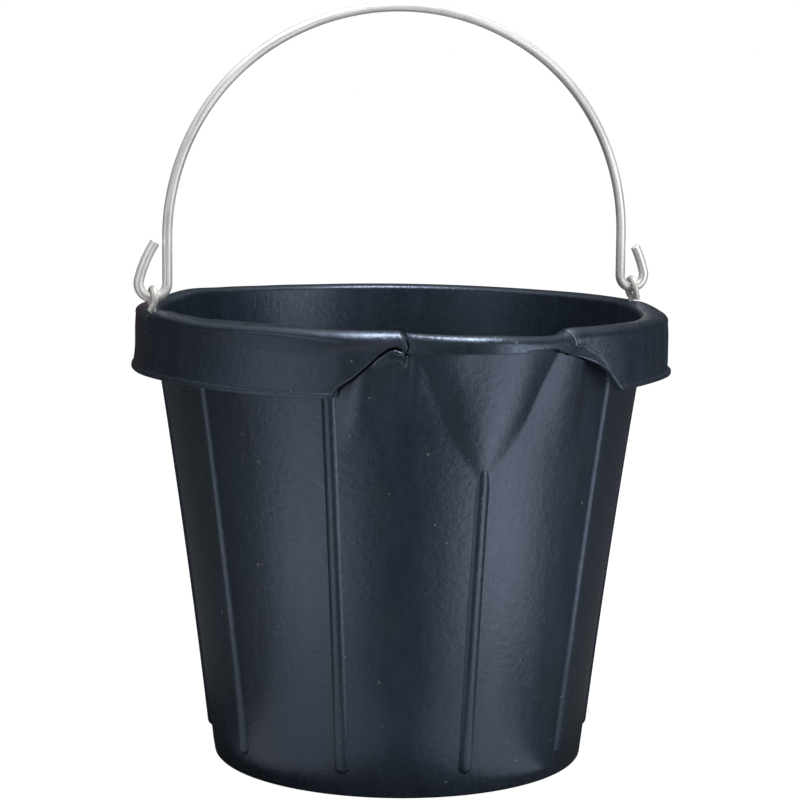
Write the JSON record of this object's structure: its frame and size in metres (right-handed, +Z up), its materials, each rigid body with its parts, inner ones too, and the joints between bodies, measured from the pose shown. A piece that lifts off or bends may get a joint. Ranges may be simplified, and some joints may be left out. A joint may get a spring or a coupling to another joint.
{
  "type": "rubber bucket",
  "caption": "Round tapered rubber bucket with outside ribs, a rolled rim with a hanging skirt, a pouring spout and a wire bail hooked into eye bolts.",
  "frame": {"origin": "centre of the flat base, where the bucket stands", "axes": "+Z up; X along the line through the two eye bolts, which is the bail's hinge; -Y towards the pouring spout"},
  "size_m": [0.3528, 0.3511, 0.4867],
  "materials": {
    "rubber": "satin blue-black moulded rubber, finely pitted",
    "bail_wire": "drawn galvanised wire, satin with lengthwise streaks",
    "hardware": "zinc plated, satin"
  },
  "bodies": {
    "bucket": {"bucket_shell": "rubber", "left_eye_bolt": "hardware", "right_eye_bolt": "hardware", "left_washer": "hardware", "right_washer": "hardware", "left_nut": "hardware", "right_nut": "hardware"},
    "bail": {"bail": "bail_wire"}
  },
  "joints": [
    {"name": "bail_swing", "type": "hinge", "parent": "bucket", "child": "bail", "pos_m": [0, 0, 0.3012], "axis": [1, 0, 0], "range_deg": [-94, 94]}
  ]
}
